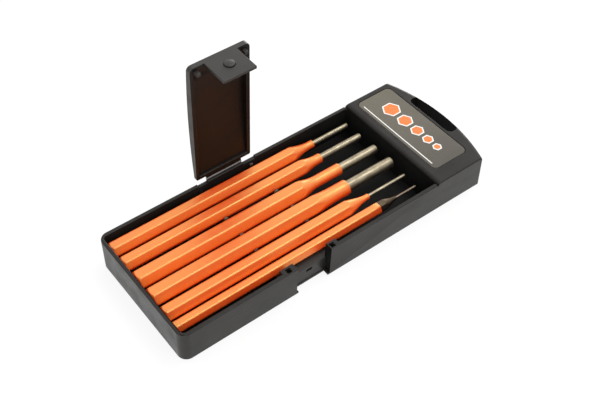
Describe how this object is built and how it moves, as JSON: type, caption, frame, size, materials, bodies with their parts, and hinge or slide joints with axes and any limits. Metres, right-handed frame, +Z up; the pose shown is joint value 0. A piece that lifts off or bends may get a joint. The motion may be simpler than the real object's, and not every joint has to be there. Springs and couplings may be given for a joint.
{
  "type": "pin punch set in case",
  "caption": "Set of hexagonal pin punches lying in an open moulded tray with comb rests, a hinged retaining flap with a latch tab, and a raised head with a label and a hang slot.",
  "frame": {"origin": "on the underside of the tray floor, midway across, and midway between the open end and the top of the curved end", "axes": "+Z up, +X from the open end of the tray to the head with the hang slot, +Y from the latch side to the hinge side"},
  "size_m": [0.1976, 0.0781, 0.0962],
  "materials": {
    "case_plastic": "fine grained moulding",
    "flap_plastic": "fine grained moulding",
    "hinge_plastic": "whitened by bending",
    "label": "satin printed film",
    "punch_paint": "orange enamel, pin left bare",
    "pin_steel": "bare turned steel"
  },
  "bodies": {
    "case": {"case_tray": "case_plastic", "label_plate": "label", "hinge_web": "hinge_plastic"},
    "flap": {"retaining_flap": "flap_plastic"},
    "punch_a": {"punch_3mm": "punch_paint"},
    "punch_b": {"punch_4mm": "punch_paint"},
    "punch_c": {"punch_5mm": "punch_paint"},
    "punch_d": {"punch_6mm": "punch_paint"},
    "punch_e": {"punch_2mm": "punch_paint"},
    "punch_f": {"punch_1_5mm": "punch_paint"}
  },
  "joints": [
    {"name": "flap_hinge", "type": "hinge", "parent": "case", "child": "flap", "pos_m": [-0.0225, 0.03679, 0.02035], "axis": [-1, 0, 0], "range_deg": [-90, 80]},
    {"name": "lift_3mm", "type": "slide", "parent": "case", "child": "punch_a", "axis": [0, 0, 1], "range_m": [0, 0.03]},
    {"name": "lift_4mm", "type": "slide", "parent": "case", "child": "punch_b", "axis": [0, 0, 1], "range_m": [0, 0.03]},
    {"name": "lift_5mm", "type": "slide", "parent": "case", "child": "punch_c", "axis": [0, 0, 1], "range_m": [0, 0.03]},
    {"name": "lift_6mm", "type": "slide", "parent": "case", "child": "punch_d", "axis": [0, 0, 1], "range_m": [0, 0.03]},
    {"name": "lift_2mm", "type": "slide", "parent": "case", "child": "punch_e", "axis": [0, 0, 1], "range_m": [0, 0.03]},
    {"name": "lift_1_5mm", "type": "slide", "parent": "case", "child": "punch_f", "axis": [0, 0, 1], "range_m": [0, 0.03]}
  ]
}
